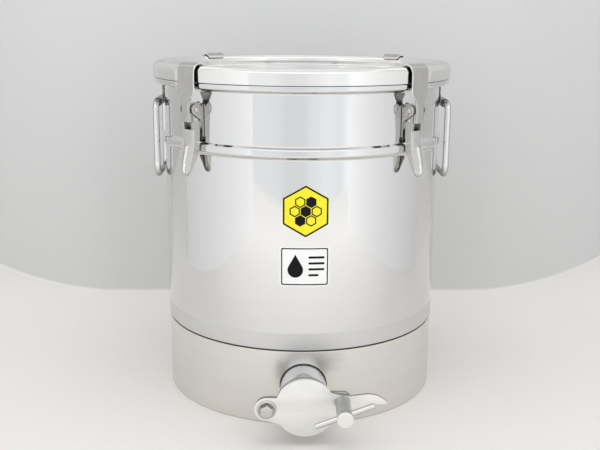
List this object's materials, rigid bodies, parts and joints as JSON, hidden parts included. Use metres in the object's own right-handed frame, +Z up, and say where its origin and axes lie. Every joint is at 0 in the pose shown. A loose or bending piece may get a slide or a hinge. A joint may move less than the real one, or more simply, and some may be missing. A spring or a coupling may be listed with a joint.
{
  "type": "honey tank",
  "caption": "Stainless honey tank with a clamped gasketed lid, over-centre latches, drop handles, base skirt and a swing-gate valve.",
  "frame": {"origin": "centre of the bounding box bottom face, on the floor; the barrel axis stands 45.35 mm behind it along +Y", "axes": "+Z up, -Y to the front where the valve is, +X to the right seen from the front"},
  "size_m": [0.3866, 0.4772, 0.4355],
  "materials": {
    "polished_steel": "mirror-bright stainless sheet",
    "satin_steel": "satin ground",
    "pressed_steel": "satin pressed sheet",
    "turned_steel": "bright turned and tumbled",
    "seal_rubber": "matt food-grade seal",
    "label_yellow": "printed film",
    "label_white": "printed film"
  },
  "bodies": {
    "tank": {"tank_barrel": "polished_steel", "base_skirt": "satin_steel", "sloped_floor": "satin_steel", "spout_tube": "turned_steel", "valve_flange": "turned_steel", "gate_seal": "seal_rubber", "clamp_stud": "turned_steel", "pivot_bolt": "turned_steel", "pivot_nut": "turned_steel", "handle_plate_left": "pressed_steel", "handle_plate_right": "pressed_steel", "hex_label": "label_yellow", "info_label": "label_white", "latch_bracket_fl": "pressed_steel", "latch_bracket_fr": "pressed_steel", "latch_bracket_rl": "pressed_steel", "latch_bracket_rr": "pressed_steel", "lever_pin_fl": "turned_steel", "lever_pin_fr": "turned_steel", "lever_pin_rl": "turned_steel", "lever_pin_rr": "turned_steel"},
    "lid": {"lid": "polished_steel", "lid_gasket": "seal_rubber"},
    "bail_left": {"handle_bail_left": "turned_steel"},
    "bail_right": {"handle_bail_right": "turned_steel"},
    "gate": {"gate_plate": "turned_steel", "pivot_washer": "turned_steel"},
    "clamp": {"clamp_post": "turned_steel", "tommy_bar": "turned_steel"},
    "lever_fl": {"latch_lever_fl": "pressed_steel", "hook_pin_fl": "turned_steel"},
    "hook_fl": {"latch_hook_fl": "pressed_steel"},
    "lever_fr": {"latch_lever_fr": "pressed_steel", "hook_pin_fr": "turned_steel"},
    "hook_fr": {"latch_hook_fr": "pressed_steel"},
    "lever_rl": {"latch_lever_rl": "pressed_steel", "hook_pin_rl": "turned_steel"},
    "hook_rl": {"latch_hook_rl": "pressed_steel"},
    "lever_rr": {"latch_lever_rr": "pressed_steel", "hook_pin_rr": "turned_steel"},
    "hook_rr": {"latch_hook_rr": "pressed_steel"}
  },
  "joints": [
    {"name": "lid_lift", "type": "slide", "parent": "tank", "child": "lid", "axis": [0, 0, 1], "range_m": [0, 0.024]},
    {"name": "lever_turn_fl", "type": "hinge", "parent": "tank", "child": "lever_fl", "pos_m": [-0.13407, -0.09013, 0.3813], "axis": [-0.7108, 0.7034, 0], "range_deg": [0, 50]},
    {"name": "hook_turn_fl", "type": "hinge", "parent": "lever_fl", "child": "hook_fl", "pos_m": [-0.13308, -0.08913, 0.3697], "axis": [0.7108, -0.7034, 0], "range_deg": [0, 96]},
    {"name": "lever_turn_fr", "type": "hinge", "parent": "tank", "child": "lever_fr", "pos_m": [0.13023, -0.09382, 0.3813], "axis": [-0.7302, -0.6833, 0], "range_deg": [0, 50]},
    {"name": "hook_turn_fr", "type": "hinge", "parent": "lever_fr", "child": "hook_fr", "pos_m": [0.12928, -0.0928, 0.3697], "axis": [0.7302, 0.6833, 0], "range_deg": [0, 96]},
    {"name": "lever_turn_rl", "type": "hinge", "parent": "tank", "child": "lever_rl", "pos_m": [-0.12877, 0.18588, 0.3813], "axis": [0.7373, 0.6756, 0], "range_deg": [0, 50]},
    {"name": "hook_turn_rl", "type": "hinge", "parent": "lever_rl", "child": "hook_rl", "pos_m": [-0.12782, 0.18484, 0.3697], "axis": [-0.7373, -0.6756, 0], "range_deg": [0, 96]},
    {"name": "lever_turn_rr", "type": "hinge", "parent": "tank", "child": "lever_rr", "pos_m": [0.13985, 0.17485, 0.3813], "axis": [0.6794, -0.7337, 0], "range_deg": [0, 50]},
    {"name": "hook_turn_rr", "type": "hinge", "parent": "lever_rr", "child": "hook_rr", "pos_m": [0.13882, 0.1739, 0.3697], "axis": [-0.6794, 0.7337, 0], "range_deg": [0, 96]},
    {"name": "bail_left_swing", "type": "hinge", "parent": "tank", "child": "bail_left", "pos_m": [-0.187, 0.04535, 0.379], "axis": [0, 1, 0], "range_deg": [0, 150]},
    {"name": "bail_right_swing", "type": "hinge", "parent": "tank", "child": "bail_right", "pos_m": [0.187, 0.04535, 0.379], "axis": [0, -1, 0], "range_deg": [0, 150]},
    {"name": "gate_swing", "type": "hinge", "parent": "tank", "child": "gate", "pos_m": [-0.04389, -0.18975, 0.0461], "axis": [0, -1, 0], "range_deg": [0, 95]},
    {"name": "clamp_turn", "type": "hinge", "parent": "tank", "child": "clamp", "pos_m": [0.04389, -0.21515, 0.0547], "axis": [0, -1, 0], "range_deg": [0, 360]}
  ],
  "couplings": [
    {"joint": "lever_turn_fl", "follows": "lid_lift", "rad_per_m": 36.357},
    {"joint": "hook_turn_fl", "follows": "lid_lift", "rad_per_m": 69.806},
    {"joint": "lever_turn_fr", "follows": "lid_lift", "rad_per_m": 36.357},
    {"joint": "hook_turn_fr", "follows": "lid_lift", "rad_per_m": 69.806},
    {"joint": "lever_turn_rl", "follows": "lid_lift", "rad_per_m": 36.357},
    {"joint": "hook_turn_rl", "follows": "lid_lift", "rad_per_m": 69.806},
    {"joint": "lever_turn_rr", "follows": "lid_lift", "rad_per_m": 36.357},
    {"joint": "hook_turn_rr", "follows": "lid_lift", "rad_per_m": 69.806}
  ]
}
